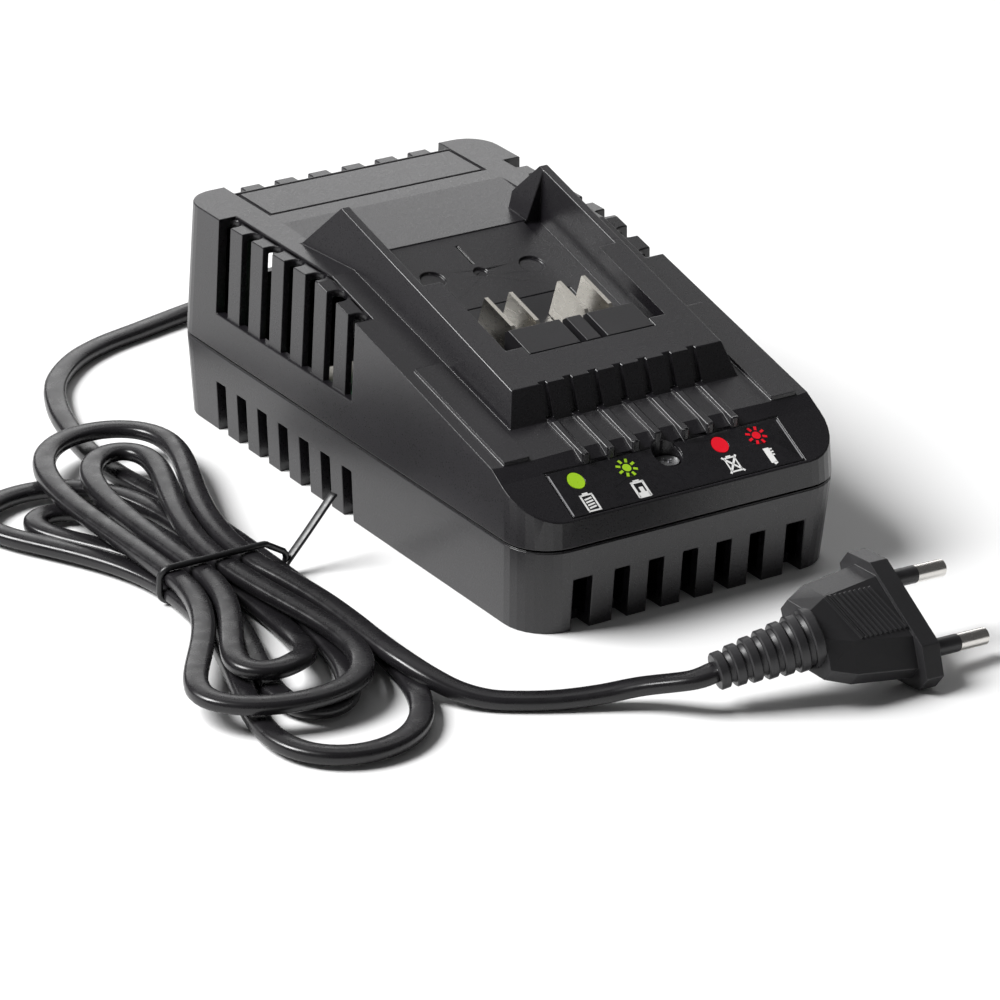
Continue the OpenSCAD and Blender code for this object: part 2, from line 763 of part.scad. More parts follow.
module heat_sink() {
    plate_t = 2;
    plate_l = 40;
    sink_h = 22;
    fin_l = 8;
    fins = 5;
    sink_x = 7 - board_w / 2;
    color("#b9bcc0") translate([sink_x, core_y - plate_l / 2 - 8, board_top]) {
        cube([plate_t, plate_l, sink_h]);
        for (i = [0 : fins - 1]) translate([0, i * (plate_l - plate_t) / (fins - 1), 0])
            cube([fin_l, plate_t, sink_h]);
    }
}

module mains_capacitor() {
    can_d = 18;
    can_h = 28;
    color("#25262b") translate([board_w / 2 - 15, board_back_y - 16, board_top])
        cylinder(d = can_d, h = can_h, $fn = 40);
}

module output_capacitor() {
    can_d = 10;
    can_h = 16;
    color("#25262b") for (x = [13 - board_w / 2, 26 - board_w / 2])
        translate([x, board_front_y + 14, board_top]) cylinder(d = can_d, h = can_h, $fn = 32);
}

module choke() {
    bore_r = 4;
    ring_t = 4.5;
    choke_h = 9;
    color(copper) translate([board_w / 2 - 10, core_y + 4, board_top]) rotate_extrude($fn = 40)
        translate([bore_r, 0]) square([ring_t, choke_h]);
}

module fuse() {
    tube_d = 5;
    tube_l = 20;
    clip_w = 4;
    clip_h = 3.2;
    color("#d9d6cf") translate([11 - board_w / 2, board_back_y - 10, board_top]) {
        translate([0, 0, clip_h]) rotate([0, 90, 0]) cylinder(d = tube_d, h = tube_l, $fn = 24);
        for (x = [0, tube_l - clip_w]) translate([x, -tube_d / 2, 0]) cube([clip_w, tube_d, clip_h]);
    }
}

// Stiff wires from the board up to the blades' tails
module output_leads() {
    z1 = skin_z(tail_y) - rim_t - tail_l;
    color("#a33a34") for (x = blade_xs) translate([x, tail_y + tail_w / 2, board_top])
        cylinder(d = 1.8, h = z1 - board_top, $fn = 16);
}

module mains_leads() {
    lead_d = 1.6;
    lead_y = board_back_y - 5;
    color("#3a62a8") for (x = [gland_x - 1.3, gland_x + 1.3]) translate([x, lead_y, 0]) {
        translate([0, 0, gland_z]) rotate([-90, 0, 0])
            cylinder(d = lead_d, h = cord_start_y - lead_y, $fn = 16);
        translate([0, 0, gland_z]) sphere(d = lead_d, $fn = 16);
        translate([0, 0, board_top]) cylinder(d = lead_d, h = gland_z - board_top, $fn = 16);
    }
}

// --- Cord anchorage ------------------------------------------------------

module cord_clamp() {
    z0 = gland_z - cord_t / 2;
    color(dark) difference() {
        translate([gland_x - clamp_w / 2, clamp_y - clamp_l / 2, z0])
            cube([clamp_w, clamp_l, cord_t + clamp_t]);
        translate([gland_x - cord_w / 2 - fit, clamp_y - clamp_l, z0 - 1])
            cube([cord_w + 2 * fit, 2 * clamp_l, cord_t + 1 + fit]);
        for (x = clamp_screw_xs) translate([x, clamp_y, 0])
            cylinder(d = clamp_screw_d + 2 * shank_gap, h = wide, $fn = 24);
    }
}

module clamp_screws() {
    head_d = 4.6;
    head_h = 1.6;
    color(steel) for (x = clamp_screw_xs) translate([x, clamp_y, gland_z + cord_t / 2 + clamp_t])
        mirror([0, 0, 1]) screw(clamp_screw_d, head_d, head_h, 11);
}

// Tapered sleeve on the cord, held in the shell's wall by its neck and an inner flange
module cord_relief() {
    neck_w = gland_hole_w - 2 * fit;
    neck_h = gland_hole_h - 2 * fit;
    flange_rim = 1.5;
    flange_back_y = relief_y - wall - 0.6;
    root_w = cord_w + 6;
    tip_w = cord_w + 2.6;
    flatness = 0.75;
    color(dark) difference() {
        union() {
            translate([gland_x - neck_w / 2, flange_back_y - 2, gland_z - neck_h / 2])
                cube([neck_w, wall + 3, neck_h]);
            translate([gland_x - gland_hole_w / 2 - flange_rim, flange_back_y - 2,
                gland_z - gland_hole_h / 2 - flange_rim])
                cube([gland_hole_w + 2 * flange_rim, 2, gland_hole_h + 2 * flange_rim]);
            hull() {
                translate([gland_x, relief_y, gland_z]) rotate([-90, 0, 0]) scale([1, flatness, 1])
                    cylinder(d = root_w, h = 1, $fn = 32);
                translate([gland_x, relief_end_y - 1, gland_z]) rotate([-90, 0, 0]) scale([1, flatness, 1])
                    cylinder(d = tip_w, h = 1, $fn = 32);
            }
        }
        translate([gland_x - cord_w / 2 - fit, 0, gland_z - cord_t / 2 - fit])
            cube([cord_w + 2 * fit, wide, cord_t + 2 * fit]);
        // notches in its sides that let it bend
        for (i = [1 : 4]) translate([gland_x, relief_y + 4.4 * i, 0])
            for (side = [-1, 1]) translate([side * (cord_w / 2 + 6.2) - 5, 0, 0]) cube([10, 1.6, wide]);
    }
}

// --- Cord ----------------------------------------------------------------

floor_gap = 0.1;
lie_z = cord_t / 2 + floor_gap; // middle of a cord lying on the floor
tie_t = 0.8;
low_z = lie_z + tie_t; // lower layer of the hank, on its tie
high_z = low_z + cord_t + 0.75; // upper layer

// One ring of the flat tube round p, square to the direction d
function ring(p, d, sides) = let (n = cross([0, 0, 1], d), a = n / norm(n), b = cross(d, a))
    [for (j = [0 : sides - 1]) let (c = cos(360 * j / sides), s = sin(360 * j / sides))
        p + a * (cord_w / 2 * sign(c) * pow(abs(c), 0.6)) + b * (cord_t / 2 * sign(s) * pow(abs(s), 0.6))];

function unit(v) = v / norm(v);
function run(path, i, d0, d1) = i == 0 ? d0 : i == len(path) - 1 ? d1 : unit(path[i + 1] - path[i - 1]);

// One closed tube along a path, its ends square to d0 and d1
module flat_tube(path, d0, d1, sides) {
    last = len(path) - 1;
    points = [for (i = [0 : last]) each ring(path[i], run(path, i, d0, d1), sides)];
    walls = [for (i = [0 : last - 1]) for (j = [0 : sides - 1])
        let (a = i * sides + j, b = i * sides + (j + 1) % sides)
        each [[a, b, a + sides], [b, b + sides, a + sides]]];
    caps = [for (j = [1 : sides - 2]) each [[0, j + 1, j],
        [last * sides, last * sides + j, last * sides + j + 1]]];
    polyhedron(points = points, faces = concat(walls, caps));
}

// Smooth curve through hand-chosen points, steps rings to a stretch
function bend(a, b, c, d, t) = 0.5 * (2 * b + (c - a) * t + (2 * a - 5 * b + 4 * c - d) * t * t
    + (3 * b - 3 * c + d - a) * t * t * t);
function smooth(pts, steps) = let (last = len(pts) - 1) [for (i = [0 : last - 1]) for (k = [0 : steps - 1])
    bend(pts[max(i - 1, 0)], pts[i], pts[i + 1], pts[min(i + 2, last)], k / steps), pts[last]];

// The hank: four turns round the tie, each with a lobe to the front and one to the back
hank_x = -89;
hank_y = -19;
turns = 4;
front_reach = [88, 66, 53, 69];
front_half = [17.5, 8.6, 8, 18.2];
front_turn = [9, 9, 17, 19]; // lean of the front lobes towards -X
back_reach = [65, 52, 66, 79];
back_half = [16, 7.7, 8, 15.8];
back_turn = [17, 17, -11, -11]; // lean of the back lobes towards -X
near_slot = [16, 9.6, 3.2, 3.2, 9.6]; // places at the tie, on the charger's side
far_slot = [9.6, 3.2, 3.2, 9.6]; // and on the other side
climb = [2.09, 2.21]; // the third turn starts low inside the second, then climbs over it

function ease(a, b, t) = a + (b - a) * (1 - cos(180 * min(max(t, 0), 1))) / 2;

function hank_point(phase) = let (k = min(floor(phase), turns - 1), t = phase - k, front = t < 0.5,
        q = front ? 2 * t : 2 * t - 1, side = front ? -1 : 1, s = sin(180 * q),
        reach = front ? front_reach[k] : back_reach[k], half = front ? front_half[k] : back_half[k],
        slot = front ? ease(near_slot[k], far_slot[k], q) : ease(far_slot[k], near_slot[k + 1], q),
        sideways = side * cos(180 * q) * (slot + 2.6 * (half - 0.577 * slot) * s * s),
        way = front ? -90 - front_turn[k] * s : 90 + back_turn[k] * s,
        flat = [hank_x, hank_y] + reach * s * [cos(way), sin(way)] + sideways * side * [-sin(way), cos(way)])
    [flat[0], flat[1], ease(low_z, high_z, (phase - climb[0]) / (climb[1] - climb[0]))];

loop_rings = 24;
hank_path = [for (i = [0 : turns * loop_rings]) hank_point(i / loop_rings)];
hank_in = hank_path[0];
hank_out = hank_path[turns * loop_rings];

// Least gap between loops, measured on points of the tube a third of a loop or more apart
fine = 48;
fine_path = [for (i = [0 : turns * fine]) hank_point(i / fine)];
hank_way = [0, -1, 0];
fine_rings = [for (i = [0 : turns * fine]) ring(fine_path[i], run(fine_path, i, hank_way, hank_way), 6)];
least_gap = min([for (i = [0 : turns * fine]) for (j = [i + fine / 6 : turns * fine])
    if (norm(fine_path[i] - fine_path[j]) < 2 * cord_w)
        min([for (p = fine_rings[i]) for (q = fine_rings[j]) norm(p - q)])]);

// Hand-chosen points of the free stretches
out_points = [[gland_x, relief_end_y, gland_z], [5.2, 107.5, 10.6], [1.5, 114, 7.6], [-6, 118.3, 4.2],
    [-16, 119.4, 2.2], [-30, 116.4, lie_z], [-43, 112.8, lie_z], [-54, 107, lie_z], [-64, 97, lie_z],
    [-70.6, 84, lie_z], [-74.6, 70, lie_z], [-76.8, 56, lie_z], [-76.8, 43, lie_z], [-74.9, 30, lie_z],
    [-73.2, 17, lie_z + 0.2], [-72.8, 4, low_z - 0.2], [-72.9, -7, low_z],
    [hank_in[0], hank_in[1] + cord_w, low_z], hank_in];

// Pose of the plug, lying on an edge and a corner of its face
plug_heading = 4.2;
plug_pitch = 4.1;
plug_roll = 33;
plug_body_l = plug_l - 6;
plug_flange_l = 5;
plug_edge = 0.32 * plug_t; // thickness at the face's two ends
plug_bevel = 6; // width of the bevels between the ends and the broad sides
plug_low = max([for (p = [[plug_w / 2, plug_edge / 2], [plug_w / 2 - plug_bevel, plug_t / 2]])
    plug_body_l * sin(plug_pitch) + cos(plug_pitch) * (p[0] * sin(plug_roll) + p[1] * cos(plug_roll))]);
plug_joint = [-6.1, -127, plug_low + 0.25]; // where the plug's body meets its relief
plug_relief_l = 21;
boot_heading = -14;
boot_pitch = -13;
boot_way = [cos(boot_heading) * cos(boot_pitch), sin(boot_heading) * cos(boot_pitch), -sin(boot_pitch)];
boot_end = plug_joint - plug_relief_l * boot_way;
in_points = [hank_out, hank_out - [0, cord_w, 0], [-78, -34, high_z], [-77, -46, high_z],
    [-77, -58, high_z], [-77.5, -69, high_z], [-77.2, -78.5, high_z - 0.3], [-75.2, -86.5, 5],
    [-71.6, -92.6, 3.2], [-66.8, -97.4, 2.1], [-61, -101.3, 1.9], [-54, -105.2, 2.1], [-46.4, -109, 3],
    [-38.9, -113.4, 4.9], boot_end - cord_w * boot_way, boot_end];

module cord_from_housing() {
    straight = [for (y = [cord_start_y, relief_y - 10, relief_y, relief_y + relief_l / 2])
        [gland_x, y, gland_z]];
    color(dark) flat_tube(concat(straight, smooth(out_points, 2)), [0, 1, 0], [0, -1, 0], 8);
}

module cord_hank() {
    color(dark) flat_tube(hank_path, [0, -1, 0], [0, -1, 0], 6);
    echo(str("hank: least gap ", least_gap, " mm"));
}

module cord_to_plug() {
    color(dark) flat_tube(smooth(in_points, 2), [0, -1, 0], boot_way, 8);
}

tie_l = 3;
tie_left = hank_x - far_slot[3] - cord_w / 2;
tie_right = hank_x + near_slot[0] + cord_w / 2;

// Elastic tie round the hank's waist
module hank_tie() {
    top = high_z + cord_t / 2;
    color("#0f0f10") translate([0, hank_y + tie_l / 2, 0]) rotate([90, 0, 0]) linear_extrude(tie_l)
        difference() {
            tie_outline(tie_t, top);
            tie_outline(0, top);
        }
}

module tie_outline(extra, top) {
    r = 2; // the tie's bend round the outer cords
    left = tie_left + r;
    right = tie_right - r;
    bottom = tie_t + floor_gap + r;
    corners = [[left, bottom], [right, bottom], [left, top - r],
        [right - near_slot[0] + near_slot[1], top - r]];
    hull() for (p = corners) translate(p) circle(r = r + extra, $fn = 24);
}

// --- Plug ----------------------------------------------------------------

core_d = pin_d - 1; // pin under its sleeve
pin_fit = 0.1; // clearance round the pin's core in the body
sleeve_d = pin_d; // the sleeve is flush with the pin's bare end
sleeve_l = 10;
pin_root = 6; // length of the core inside the body

module at_plug() {
    translate(plug_joint) rotate([plug_roll, plug_pitch, plug_heading]) children();
}

module at_pins() {
    at_plug() for (side = [-1, 1]) translate([plug_body_l, side * pin_gap / 2, 0]) rotate([0, 90, 0])
        children();
}

// A slice across the plug, drawn as a flattened hexagon
module plug_slice(x, w, t, l) {
    end = t * plug_edge / plug_t / 2;
    flat = w / 2 - plug_bevel;
    translate([x, 0, 0]) rotate([90, 0, 90]) linear_extrude(l)
        polygon([[-w / 2, -end], [-w / 2, end], [-flat, t / 2], [flat, t / 2], [w / 2, end], [w / 2, -end],
            [flat, -t / 2], [-flat, -t / 2]]);
}

module plug_body() {
    face_x = plug_body_l - plug_flange_l;
    shoulder_x = 6;
    ridges = 10;
    ridge_w = 0.6;
    ridge_h = 1.2;
    color(dark) difference() {
        union() {
            at_plug() plug_slice(face_x, plug_w, plug_t, plug_flange_l);
            at_plug() hull() {
                plug_slice(face_x - 0.5, plug_w - 6.6, plug_t - 1.2, 1);
                plug_slice(shoulder_x, plug_w - 10.6, plug_t - 0.8, 1);
                plug_slice(0, plug_w - 15.6, plug_t - 1.8, 1);
            }
            // slanted grip ridges on both broad sides
            at_plug() for (side = [0, 180]) rotate([side, 0, 0]) for (i = [0 : ridges - 1])
                translate([shoulder_x + 1 + 1.4 * i, 0, plug_t / 2 - ridge_h]) rotate([0, 0, 14])
                    translate([0, -6, 0]) cube([ridge_w, 12, ridge_h]);
        }
        at_pins() translate([0, 0, -pin_root]) cylinder(d = core_d + 2 * pin_fit, h = wide, $fn = 24);
    }
}

// Ribbed sleeve between the cord and the plug, thicker towards the plug
module plug_relief() {
    ribs = 7;
    pitch = plug_relief_l / 6;
    rib = 2.3;
    groove = 1;
    profile = [for (i = [0 : ribs - 1]) let (x = i * pitch, r = 4.15 + x * 0.125)
        each [[r - groove, x], [r - 0.3, x], [r, x + 0.3], [r, x + rib - 0.3], [r - 0.3, x + rib],
            [r - groove, x + rib]]];
    color(dark) difference() {
        translate(boot_end) rotate([0, boot_pitch, boot_heading]) rotate([0, 90, 0])
            rotate_extrude($fn = 32) polygon(concat([[0, 0]], profile, [[0, (ribs - 1) * pitch + rib]]));
        // flush with the back of the plug's body
        at_plug() translate([0, -20, -20]) cube(40);
    }
}

module plug_sleeves() {
    color("#2a2a2c") at_pins() difference() {
        cylinder(d = sleeve_d, h = sleeve_l, $fn = 24);
        translate([0, 0, -1]) cylinder(d = core_d, h = sleeve_l + 2, $fn = 24);
    }
}

module plug_pins() {
    tip = 1;
    color(metal) at_pins() rotate_extrude($fn = 24)
        polygon([[0, -pin_root], [core_d / 2, -pin_root], [core_d / 2, sleeve_l], [pin_d / 2, sleeve_l],
            [pin_d / 2, pin_l - tip], [pin_d / 2 - tip, pin_l], [0, pin_l]]);
}

upper_housing();
lower_housing();
indicator_panel();
light_pipes([lamp_xs[0], lamp_xs[1]], lamp_green);  // green_light_pipes
light_pipes([lamp_xs[2], lamp_xs[3]], lamp_red);  // red_light_pipes
panel_screw();
contact_carrier();
blade(blade_xs[0]);  // blade_negative
blade(blade_xs[1]);  // blade_sense
blade(blade_xs[2]);  // blade_identity
blade(blade_xs[3]);  // blade_positive
housing_screws();
circuit_board();
board_screws();
indicator_board();
indicator_lamps();
transformer_core();
transformer_winding();
heat_sink();
mains_capacitor();
output_capacitor();
choke();
fuse();
output_leads();
mains_leads();
cord_clamp();
clamp_screws();
cord_relief();
cord_from_housing();
cord_hank();
cord_to_plug();
hank_tie();
plug_body();
plug_relief();
plug_sleeves();
plug_pins();
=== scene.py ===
import json
from math import cos, floor, pi, radians, sin

import bpy
import bmesh
from mathutils import Matrix, Vector


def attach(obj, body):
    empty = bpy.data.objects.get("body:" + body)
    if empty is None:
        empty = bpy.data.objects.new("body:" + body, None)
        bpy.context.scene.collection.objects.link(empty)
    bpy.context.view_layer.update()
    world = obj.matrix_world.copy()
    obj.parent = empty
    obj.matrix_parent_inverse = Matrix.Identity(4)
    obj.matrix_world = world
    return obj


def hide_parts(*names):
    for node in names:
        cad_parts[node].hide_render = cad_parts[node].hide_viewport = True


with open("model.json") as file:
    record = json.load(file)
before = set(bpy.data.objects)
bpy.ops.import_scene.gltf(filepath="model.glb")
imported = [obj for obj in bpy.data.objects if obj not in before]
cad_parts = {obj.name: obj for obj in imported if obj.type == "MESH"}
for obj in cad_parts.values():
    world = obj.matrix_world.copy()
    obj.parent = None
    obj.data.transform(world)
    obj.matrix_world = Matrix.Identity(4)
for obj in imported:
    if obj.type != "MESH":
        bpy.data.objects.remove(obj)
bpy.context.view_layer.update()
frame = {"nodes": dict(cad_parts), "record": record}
nodes = frame["nodes"]
scene = bpy.context.scene
mm = 0.001


view = {
    "place": (-0.6283, -0.9353, 0.5067),
    "aim": (-0.0370, -0.0551, 0.0250),
    "roll": 1.493,  # degrees
    "lens": 191.4,  # millimetres
    "sensor": 36,
    "near": 0.05,
    "far": 20,
}


def makeCamera():
    data = bpy.data.cameras.new("camera")
    data.lens = view["lens"]
    data.sensor_width = view["sensor"]
    data.clip_start, data.clip_end = view["near"], view["far"]
    camera = bpy.data.objects.new("camera", data)
    scene.collection.objects.link(camera)
    look = Vector(view["aim"]) - Vector(view["place"])
    turn = look.to_track_quat("-Z", "Y").to_matrix() @ Matrix.Rotation(radians(view["roll"]), 3, "Z")
    camera.matrix_world = Matrix.Translation(view["place"]) @ turn.to_4x4()
    scene.camera = camera


def makeLamp(name, place, size, power):
    data = bpy.data.lights.new(name, "AREA")
    data.shape = "RECTANGLE"
    data.size, data.size_y = size
    data.energy = power
    lamp = bpy.data.objects.new(name, data)
    scene.collection.objects.link(lamp)
    lamp.location = place
    lamp.rotation_euler = (-Vector(place)).to_track_quat("-Z", "Y").to_euler()  # it looks at the origin


studio = {
    "world": 0.09,
    "floor": (0.86, 0.86, 0.86, 1),
    "floorSize": 12,
    "floorRoughness": 0.7,
    "floorSpecular": 0.2,
    "main": {"place": (-1.4, 0.7, 1.7), "size": (1.1, 1.1), "power": 92},
    "back": {"place": (1.2, 1.8, 0.85), "size": (2.4, 0.7), "power": 11},
    "above": {"place": (0.85, 1.2, 1.9), "size": (1.6, 1.0), "power": 3},
}


def makeStudio():
    world = bpy.data.worlds.new("studio")
    scene.world = world
    world.use_nodes = True
    back = world.node_tree.nodes["Background"]
    back.inputs["Color"].default_value = (1, 1, 1, 1)
    back.inputs["Strength"].default_value = studio["world"]
    for name in ("main", "back", "above"):
        box = studio[name]
        makeLamp(name, box["place"], box["size"], box["power"])
    half = studio["floorSize"] / 2
    mesh = bpy.data.meshes.new("floor")
    corners = [(-half, -half, 0), (half, -half, 0), (half, half, 0), (-half, half, 0)]
    mesh.from_pydata(corners, [], [(0, 1, 2, 3)])
    ground = bpy.data.objects.new("floor", mesh)
    scene.collection.objects.link(ground)
    paint = bpy.data.materials.new("floor")
    paint.use_nodes = True
    shader = paint.node_tree.nodes["Principled BSDF"]
    shader.inputs["Base Color"].default_value = studio["floor"]
    shader.inputs["Roughness"].default_value = studio["floorRoughness"]
    shader.inputs["Specular IOR Level"].default_value = studio["floorSpecular"]
    mesh.materials.append(paint)
    scene.view_settings.view_transform = "Standard"


makeCamera()
makeStudio()
print("camera, floor and light are in place")


def newFinish(name, color, roughness, metallic=0.0, specular=0.5):
    finish = bpy.data.materials.new(name)
    finish.use_nodes = True
    tree = finish.node_tree
    shader = tree.nodes["Principled BSDF"]
    shader.inputs["Base Color"].default_value = (*color, 1)
    shader.inputs["Roughness"].default_value = roughness
    shader.inputs["Metallic"].default_value = metallic
    shader.inputs["Specular IOR Level"].default_value = specular
    return finish, tree, shader


def addNoise(tree, size, detail=3.0, stretch=(1, 1, 1)):
    place = tree.nodes.new("ShaderNodeTexCoord")
    scale = tree.nodes.new("ShaderNodeMapping")
    scale.inputs["Scale"].default_value = stretch
    noise = tree.nodes.new("ShaderNodeTexNoise")
    noise.inputs["Scale"].default_value = 1 / size  # size of a fleck in metres
    noise.inputs["Detail"].default_value = detail
    tree.links.new(place.outputs["Object"], scale.inputs["Vector"])
    tree.links.new(scale.outputs["Vector"], noise.inputs["Vector"])
    return noise


def spread(tree, source, low, high, start=0.3, end=0.7):
    ramp = tree.nodes.new("ShaderNodeMapRange")
    ramp.inputs["From Min"].default_value = start
    ramp.inputs["From Max"].default_value = end
    ramp.inputs["To Min"].default_value = low
    ramp.inputs["To Max"].default_value = high
    tree.links.new(source, ramp.inputs["Value"])
    return ramp.outputs["Result"]


def tone(tree, source, dark, light):
    ramp = tree.nodes.new("ShaderNodeValToRGB")
    ramp.color_ramp.elements[0].position = 0.3
    ramp.color_ramp.elements[0].color = (*dark, 1)
    ramp.color_ramp.elements[1].position = 0.7
    ramp.color_ramp.elements[1].color = (*light, 1)
    tree.links.new(source, ramp.inputs["Fac"])
    return ramp.outputs["Color"]


def addBump(tree, shader, source, strength, depth):
    bump = tree.nodes.new("ShaderNodeBump")
    bump.inputs["Strength"].default_value = strength
    bump.inputs["Distance"].default_value = depth
    tree.links.new(source, bump.inputs["Height"])
    tree.links.new(bump.outputs["Normal"], shader.inputs["Normal"])


moulded = {
    "slow": 0.03,  # reach of the slow change in shade, in metres
    "dark": 0.8,
    "light": 1.25,
    "glossier": 0.05,
    "duller": 0.07,
    "bump": 0.35,
}


# a fine spark-eroded grain, with slow changes in shade and gloss
def mouldedPlastic(name, color, roughness, grain, grainDepth, specular=0.5):
    finish, tree, shader = newFinish(name, color, roughness, specular=specular)
    slow = addNoise(tree, moulded["slow"], 2)
    fine = addNoise(tree, grain, 4)
    dark = tuple(moulded["dark"] * c for c in color)
    light = tuple(moulded["light"] * c for c in color)
    glossy, dull = roughness - moulded["glossier"], roughness + moulded["duller"]
    tree.links.new(tone(tree, slow.outputs["Fac"], dark, light), shader.inputs["Base Color"])
    tree.links.new(spread(tree, fine.outputs["Fac"], glossy, dull), shader.inputs["Roughness"])
    addBump(tree, shader, fine.outputs["Fac"], moulded["bump"], grainDepth)
    return finish


metal = {
    "streak": 0.002,
    "stretch": (1, 1, 12),
    "dark": 0.93,
    "glossier": 0.02,
    "duller": 0.05,
}


def metalFinish(name, color, roughness):
    finish, tree, shader = newFinish(name, color, roughness, metallic=1.0)
    streak = addNoise(tree, metal["streak"], 3, metal["stretch"])
    dark = tuple(metal["dark"] * c for c in color)
    glossy, dull = roughness - metal["glossier"], roughness + metal["duller"]
    tree.links.new(tone(tree, streak.outputs["Fac"], dark, color), shader.inputs["Base Color"])
    tree.links.new(spread(tree, streak.outputs["Fac"], glossy, dull), shader.inputs["Roughness"])
    return finish


# dark: share of the colour left in the grooves between turns, a painted shade
wire = {"roughness": 0.3, "wander": 0.6, "dark": 0.5, "bump": 0.6}


def woundWire(name, color, pitch):
    finish, tree, shader = newFinish(name, color, wire["roughness"], metallic=1.0)
    place = tree.nodes.new("ShaderNodeTexCoord")
    wave = tree.nodes.new("ShaderNodeTexWave")
    wave.bands_direction = "Z"
    wave.inputs["Scale"].default_value = 1 / pitch / 2
    wave.inputs["Distortion"].default_value = wire["wander"]
    tree.links.new(place.outputs["Object"], wave.inputs["Vector"])
    # the low bands, which the bump makes into grooves, are painted darker: painted shade between the turns
    dark = tuple(wire["dark"] * c for c in color)
    tree.links.new(tone(tree, wave.outputs["Fac"], dark, color), shader.inputs["Base Color"])
    addBump(tree, shader, wave.outputs["Fac"], wire["bump"], pitch / 3)
    return finish


# moulded: name, color, roughness, grain and its depth in metres
finishes = {
    "housing_plastic": mouldedPlastic("housingPlastic", (0.0085, 0.0077, 0.0095), 0.3, 0.0003, 0.00001, 0.62),
    "panel_film": mouldedPlastic("panelFilm", (0.008, 0.0075, 0.009), 0.28, 0.0012, 0.00001),
    "carrier_plastic": mouldedPlastic("carrierPlastic", (0.0115, 0.011, 0.0125), 0.35, 0.0005, 0.00005),
    "green_lens": mouldedPlastic("greenLens", (0.36, 0.62, 0.02), 0.3, 0.001, 0.00001),
    "red_lens": mouldedPlastic("redLens", (0.75, 0.006, 0.02), 0.3, 0.001, 0.00001),
    "blade_metal": metalFinish("bladeMetal", (0.72, 0.69, 0.63), 0.28),
    "screw_steel": metalFinish("screwSteel", (0.6, 0.6, 0.61), 0.3),
    "board": mouldedPlastic("boardLaminate", (0.03, 0.13, 0.06), 0.35, 0.0008, 0.00002),
    "ferrite": mouldedPlastic("ferrite", (0.05, 0.05, 0.053), 0.6, 0.0004, 0.00005),
    "copper": woundWire("woundCopper", (0.78, 0.36, 0.16), 0.0008),
    "sink_aluminium": metalFinish("sinkAluminium", (0.8, 0.81, 0.82), 0.35),
    "capacitor_sleeve": mouldedPlastic("capacitorSleeve", (0.02, 0.02, 0.035), 0.25, 0.002, 0.00001),
    "wire_insulation": mouldedPlastic("wireInsulation", (0.35, 0.03, 0.03), 0.4, 0.001, 0.00002),
    "fuse_body": mouldedPlastic("fuseBody", (0.68, 0.66, 0.6), 0.25, 0.001, 0.00001),
    "lamp_body": mouldedPlastic("lampBody", (0.78, 0.77, 0.7), 0.2, 0.001, 0.00001),
    "cord_jacket": mouldedPlastic("cordJacket", (0.0105, 0.0098, 0.0112), 0.27, 0.004, 0.00001),
    "plug_plastic": mouldedPlastic("plugPlastic", (0.02, 0.0195, 0.021), 0.4, 0.0004, 0.00004),
    "pin_metal": metalFinish("pinMetal", (0.75, 0.73, 0.7), 0.22),
    "tie_rubber": mouldedPlastic("tieWire", (0.01, 0.01, 0.011), 0.35, 0.001, 0.00002),
    "white_print": mouldedPlastic("whitePrint", (0.75, 0.75, 0.74), 0.45, 0.0005, 0.00001),
    # pale_line: a painted highlight, the light caught on the panel recess's edges
    "pale_line": mouldedPlastic("edgeHighlightPaint", (0.3, 0.3, 0.31), 0.4, 0.0005, 0.00001),
}
print("finishes are mixed")


def newPiece(name, corners, faces, slot, smooth=True):
    mesh = bpy.data.meshes.new(name)
    mesh.from_pydata([tuple(c) for c in corners], [], faces)
    mesh.materials.append(finishes[slot])
    shape = bmesh.new()
    shape.from_mesh(mesh)
    bmesh.ops.recalc_face_normals(shape, faces=shape.faces)
    shape.to_mesh(mesh)
    shape.free()
    mesh.polygons.foreach_set("use_smooth", [smooth] * len(mesh.polygons))
    piece = bpy.data.objects.new(name, mesh)
    scene.collection.objects.link(piece)
    return piece


def finishPiece(piece, slot, *stoodFor):
    if stoodFor:
        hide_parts(*stoodFor)
    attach(piece, "root")
    return piece


cord = {
    "width": 0.0054,
    "thick": 0.0033,
    "roundness": 0.6,  # 1 is an oval, 0 a box
    "sides": 16,
    "sharp": 60,
    "loopRings": 120,  # to one turn of the hank
    "steps": 10,  # between two points of a route
}
gland = {
    "x": 0.006,
    "z": 0.012,
    "shellY": 0.0762,
    "tipY": 0.10023,
    "leadY": (0.0555, 0.0660, 0.0762, 0.0882),  # inside the shell and the relief
}
hank = {
    "middle": (-0.089, -0.019),
    "low": 0.00255,
    "high": 0.0066,
    "frontReach": (0.088, 0.066, 0.053, 0.069),
    "frontHalf": (0.0175, 0.0086, 0.008, 0.0182),
    "frontTurn": (9, 9, 17, 19),
    "backReach": (0.065, 0.052, 0.066, 0.079),
    "backHalf": (0.016, 0.0077, 0.008, 0.0158),
    "backTurn": (17, 17, -11, -11),
    "nearSlot": (0.016, 0.0096, 0.0032, 0.0032, 0.0096),
    "farSlot": (0.0096, 0.0032, 0.0032, 0.0096),
    "climb": (2.09, 2.21),  # turns at which the upper layer starts and is reached
    "bulge": 2.6,  # brings the widest place of a loop to its half width
    "bulgeSlot": 0.577,  # share of the waist's slot still felt there
}
plugPose = {
    "joint": (-0.0061, -0.127, 0.013506),
    "reliefLength": 0.021,
    "bootHeading": -14,
    "bootPitch": -13,
}


def ease(a, b, t):
    return a + (b - a) * (1 - cos(pi * min(max(t, 0), 1))) / 2


